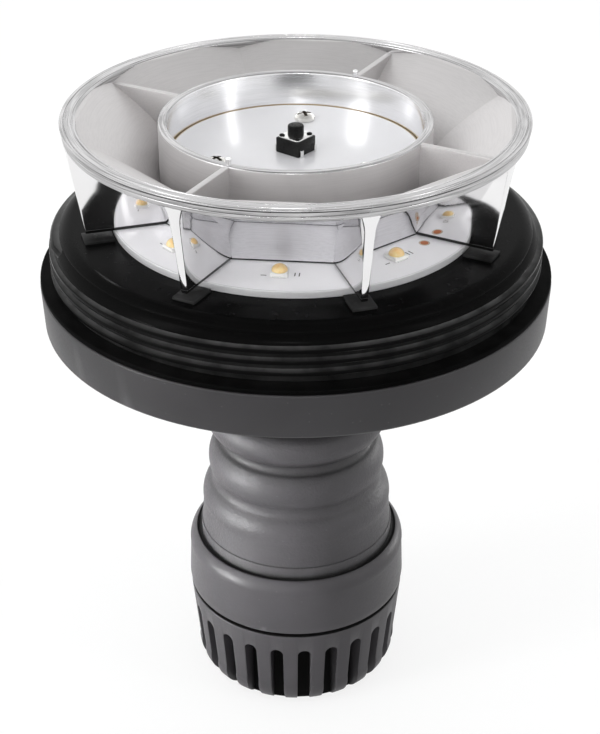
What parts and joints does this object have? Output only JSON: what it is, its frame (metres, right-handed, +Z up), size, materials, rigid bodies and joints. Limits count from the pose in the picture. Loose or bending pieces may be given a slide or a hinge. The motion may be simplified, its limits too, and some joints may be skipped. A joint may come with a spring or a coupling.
{
  "type": "signal light",
  "caption": "Round LED signal light with a chromed mirror reflector, threaded lens collar, flexible beaded neck and a clamp socket for a beacon pole, shown without its lens.",
  "frame": {"origin": "middle of the clamp knob's foot, on the surface the light stands on", "axes": "+Z up along the pole axis, -Y towards the viewer of the picture"},
  "size_m": [0.1134, 0.1134, 0.1447],
  "materials": {
    "knob_plastic": "satin moulded grip",
    "collet_plastic": "natural acetal",
    "socket_plastic": "moulded",
    "sleeve_plastic": "satin moulded",
    "contact_brass": "plain",
    "insulator": "moulded",
    "spring_steel": "drawn wire",
    "neck_rubber": "fine moulded grain",
    "red_insulation": "wire insulation",
    "black_insulation": "wire insulation",
    "zinc_steel": "zinc plated",
    "cup_plastic": "satin moulded",
    "collar_plastic": "semi gloss moulded",
    "seal_rubber": "smooth",
    "board_white": "white solder mask on aluminium",
    "led_ceramic": "white package",
    "led_phosphor": "yellow phosphor under a clear dome",
    "mirror_chrome": "vacuum metallised mirror",
    "spacer_brass": "turned",
    "driver_board_white": "white solder mask",
    "chip_plastic": "moulded",
    "ferrite": "ferrite and wire",
    "capacitor_can": "sleeved can",
    "switch_plastic": "moulded",
    "switch_steel": "tinned"
  },
  "bodies": {
    "mount": {"pole_socket": "socket_plastic", "socket_sleeve": "sleeve_plastic", "earth_contact": "contact_brass", "contact_block": "insulator", "contact_spring": "spring_steel", "flex_neck": "neck_rubber", "positive_lead": "red_insulation", "negative_lead": "black_insulation"},
    "collet": {"clamp_collet": "collet_plastic"},
    "knob": {"clamp_knob": "knob_plastic"},
    "contact_pin": {"centre_contact": "contact_brass"},
    "head": {"neck_plate": "zinc_steel", "neck_screws": "zinc_steel", "base_cup": "cup_plastic", "collar_screws": "zinc_steel", "threaded_collar": "collar_plastic", "lens_seal": "seal_rubber", "led_board": "board_white", "led_board_screws": "zinc_steel", "led_bases": "led_ceramic", "led_domes": "led_phosphor", "reflector": "mirror_chrome", "board_tube": "mirror_chrome", "board_spacers": "spacer_brass", "driver_board": "driver_board_white", "driver_screws": "zinc_steel", "board_header": "insulator", "driver_chip": "chip_plastic", "driver_coil": "ferrite", "filter_capacitor": "capacitor_can", "switch_case": "switch_plastic", "switch_cover": "switch_steel", "switch_legs": "switch_steel"},
    "button": {"switch_button": "switch_plastic"}
  },
  "joints": [
    {"name": "neck_bend", "type": "hinge", "parent": "mount", "child": "head", "pos_m": [0, 0, 0.06935], "axis": [0, 1, 0], "range_deg": [-20, 20], "stiffness_Nm_per_rad": 3, "deforming": ["flex_neck", "positive_lead", "negative_lead"]},
    {"name": "knob_turn", "type": "hinge", "parent": "collet", "child": "knob", "pos_m": [0, 0, 0], "axis": [0, 0, -1], "range_deg": [0, 360]},
    {"name": "collet_slide", "type": "slide", "parent": "mount", "child": "collet", "axis": [0, 0, -1], "range_m": [0, 0.00302]},
    {"name": "contact_press", "type": "slide", "parent": "mount", "child": "contact_pin", "axis": [0, 0, 1], "range_m": [0, 0.002], "stiffness_N_per_m": 1500, "deforming": ["contact_spring"]},
    {"name": "switch_press", "type": "slide", "parent": "head", "child": "button", "axis": [0, 0, -1], "range_m": [0, 0.00025], "stiffness_N_per_m": 3000}
  ],
  "couplings": [
    {"joint": "collet_slide", "follows": "knob_turn", "m_per_rad": 0.00047746}
  ]
}
